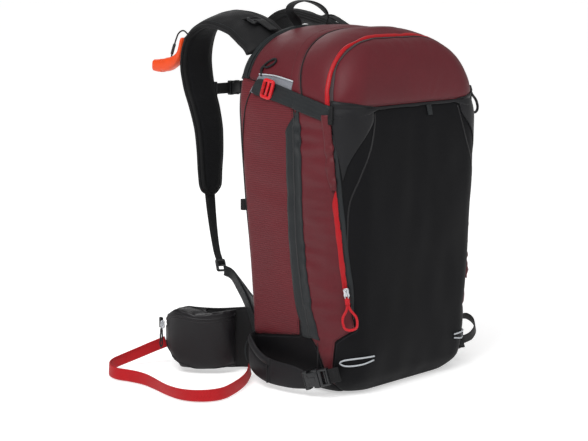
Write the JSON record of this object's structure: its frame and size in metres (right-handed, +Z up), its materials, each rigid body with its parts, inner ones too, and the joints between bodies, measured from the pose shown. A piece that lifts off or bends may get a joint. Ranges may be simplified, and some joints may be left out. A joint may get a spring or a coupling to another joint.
{
  "type": "ski backpack",
  "caption": "Framed airbag ski pack with padded shoulder straps, hip belt with zip pockets, ski loops, compression straps, haul loop and a red leg strap.",
  "frame": {"origin": "centre of the flat base, on the surface the pack stands on", "axes": "+Z up along the back, +Y towards the wearer, -Y to the outer front, -X the wearer's left"},
  "size_m": [0.5733, 0.5345, 0.6136],
  "materials": {
    "maroon_fabric": "coated ripstop nylon, dull sheen",
    "black_fabric": "coated plain-weave nylon, faint sheen",
    "charcoal_fabric": "matt plain weave",
    "mesh_pad": "spacer mesh over foam, matt",
    "black_webbing": "woven polyester webbing",
    "grey_webbing": "woven webbing and zip tape",
    "red_tape": "woven tape",
    "red_plastic": "moulded acetal, soft gloss",
    "black_plastic": "moulded acetal, matt",
    "orange_plastic": "moulded, satin",
    "silver_metal": "plated zinc",
    "reflective_cord": "reflective yarn",
    "frame_alloy": "satin"
  },
  "bodies": {
    "pack": {"airbag": "black_fabric", "back_pads": "mesh_pad", "back_panel": "charcoal_fabric", "base_panel": "black_fabric", "collar_panel": "maroon_fabric", "compression_straps": "grey_webbing", "corner_zip_tape": "red_tape", "crown_panel": "maroon_fabric", "fan_unit": "black_plastic", "frame_sheet": "black_plastic", "frame_stays": "frame_alloy", "goggle_pocket": "maroon_fabric", "goggle_zip_tape": "red_tape", "harness_anchor_left": "black_webbing", "harness_anchor_right": "black_webbing", "lower_locks": "black_plastic", "lumbar_pad": "mesh_pad", "pocket_wings": "charcoal_fabric", "power_unit": "black_plastic", "reflective_trim": "reflective_cord", "seam_piping": "grey_webbing", "side_gussets": "maroon_fabric", "side_panel_left": "maroon_fabric", "side_panel_right": "maroon_fabric", "side_zips": "grey_webbing", "ski_loop_left": "black_webbing", "ski_loop_right": "black_webbing", "ski_tails": "black_webbing", "tool_pocket": "black_fabric", "tool_pocket_wall": "black_fabric", "trigger_conduit": "black_plastic", "webbing_tabs": "black_webbing"},
    "shoulder_strap_left": {"shoulder_strap_left": "mesh_pad", "load_lifter_left": "black_webbing", "lower_webbing_left": "black_webbing", "trigger_pouch": "black_fabric"},
    "shoulder_strap_right": {"shoulder_strap_right": "mesh_pad", "load_lifter_right": "black_webbing", "lower_webbing_right": "black_webbing"},
    "trigger_handle": {"trigger_handle": "orange_plastic"},
    "sternum_socket": {"sternum_socket_strap": "black_webbing"},
    "sternum_plug": {"sternum_plug_strap": "black_webbing"},
    "hip_wing_left": {"hip_wing_left": "mesh_pad", "hip_pocket_left": "black_fabric", "hip_buckle_left": "black_webbing", "leg_strap": "red_tape"},
    "hip_wing_right": {"hip_wing_right": "mesh_pad", "hip_pocket_right": "black_fabric", "hip_buckle_right": "black_webbing"},
    "hip_slider_left": {"hip_slider_left": "silver_metal"},
    "hip_slider_right": {"hip_slider_right": "silver_metal"},
    "ski_plug_left": {"ski_plug_left": "black_plastic"},
    "ski_plug_right": {"ski_plug_right": "black_plastic"},
    "compression_lock_left": {"compression_lock_left": "red_plastic"},
    "compression_lock_right": {"compression_lock_right": "red_plastic"},
    "haul_loop": {"haul_loop": "black_webbing"},
    "corner_slider": {"corner_slider": "silver_metal"},
    "corner_pull": {"corner_pull": "red_tape"},
    "goggle_slider": {"goggle_slider": "silver_metal"},
    "goggle_pull": {"goggle_pull": "black_plastic"}
  },
  "joints": [
    {"name": "shoulder_left_swing", "type": "hinge", "parent": "pack", "child": "shoulder_strap_left", "pos_m": [-0.09, 0.116, 0.545], "axis": [1, 0, 0], "range_deg": [-8, 8], "stiffness_Nm_per_rad": 30, "deforming": ["lower_webbing_left"]},
    {"name": "shoulder_right_swing", "type": "hinge", "parent": "pack", "child": "shoulder_strap_right", "pos_m": [0.09, 0.116, 0.545], "axis": [1, 0, 0], "range_deg": [-8, 8], "stiffness_Nm_per_rad": 30, "deforming": ["lower_webbing_right"]},
    {"name": "trigger_pull", "type": "slide", "parent": "shoulder_strap_left", "child": "trigger_handle", "axis": [0, 0.8, -0.6], "range_m": [0, 0.04]},
    {"name": "sternum_left_slide", "type": "slide", "parent": "shoulder_strap_left", "child": "sternum_socket", "axis": [0, 0.237, 0.9715], "range_m": [-0.03, 0.03]},
    {"name": "sternum_right_slide", "type": "slide", "parent": "shoulder_strap_right", "child": "sternum_plug", "axis": [0, 0.237, 0.9715], "range_m": [-0.03, 0.03]},
    {"name": "hip_left_flex", "type": "hinge", "parent": "pack", "child": "hip_wing_left", "pos_m": [-0.122, 0.109, 0.06], "axis": [0, 0, 1], "range_deg": [-40, 4]},
    {"name": "hip_right_flex", "type": "hinge", "parent": "pack", "child": "hip_wing_right", "pos_m": [0.122, 0.109, 0.06], "axis": [0, 0, 1], "range_deg": [-4, 40]},
    {"name": "hip_left_zip", "type": "hinge", "parent": "hip_wing_left", "child": "hip_slider_left", "pos_m": [-0.2307, 0.192, 0.072], "axis": [1, 0, 0], "range_deg": [0, 85]},
    {"name": "hip_right_zip", "type": "hinge", "parent": "hip_wing_right", "child": "hip_slider_right", "pos_m": [0.2307, 0.192, 0.072], "axis": [1, 0, 0], "range_deg": [0, 85]},
    {"name": "ski_left_release", "type": "slide", "parent": "pack", "child": "ski_plug_left", "axis": [0.3179, -0.9082, 0.2724], "range_m": [0, 0.013], "deforming": ["ski_tails"]},
    {"name": "ski_right_release", "type": "slide", "parent": "pack", "child": "ski_plug_right", "axis": [-0.3179, -0.9082, 0.2724], "range_m": [0, 0.013], "deforming": ["ski_tails"]},
    {"name": "compression_left_tilt", "type": "hinge", "parent": "pack", "child": "compression_lock_left", "pos_m": [-0.174, 0.0498, 0.4798], "axis": [0, 0.1903, -0.9817], "range_deg": [0, 25]},
    {"name": "compression_right_tilt", "type": "hinge", "parent": "pack", "child": "compression_lock_right", "pos_m": [0.174, 0.0498, 0.4798], "axis": [0, -0.1903, 0.9817], "range_deg": [0, 25]},
    {"name": "haul_loop_fold", "type": "hinge", "parent": "pack", "child": "haul_loop", "pos_m": [-0.01, 0.105, 0.581], "axis": [1, 0, 0], "range_deg": [-35, 75], "stiffness_Nm_per_rad": 0.05},
    {"name": "corner_zip_slide", "type": "slide", "parent": "pack", "child": "corner_slider", "axis": [-0.0773, 0.1071, 0.9912], "range_m": [0, 0.15]},
    {"name": "corner_pull_swing", "type": "hinge", "parent": "corner_slider", "child": "corner_pull", "pos_m": [-0.1557, -0.1177, 0.163], "axis": [-0.5708, 0.8211, 0], "range_deg": [0, 60]},
    {"name": "goggle_zip_slide", "type": "hinge", "parent": "pack", "child": "goggle_slider", "pos_m": [0.077, -0.0865, 0.465], "axis": [0, -0.9874, 0.158], "range_deg": [0, 60]},
    {"name": "goggle_pull_swing", "type": "hinge", "parent": "goggle_slider", "child": "goggle_pull", "pos_m": [0.176, -0.0845, 0.471], "axis": [0, 1, 0], "range_deg": [-60, 5], "stiffness_Nm_per_rad": 0.01}
  ],
  "couplings": [
    {"joint": "shoulder_right_swing", "follows": "shoulder_left_swing", "ratio": 1},
    {"joint": "sternum_right_slide", "follows": "sternum_left_slide", "ratio": 1}
  ]
}
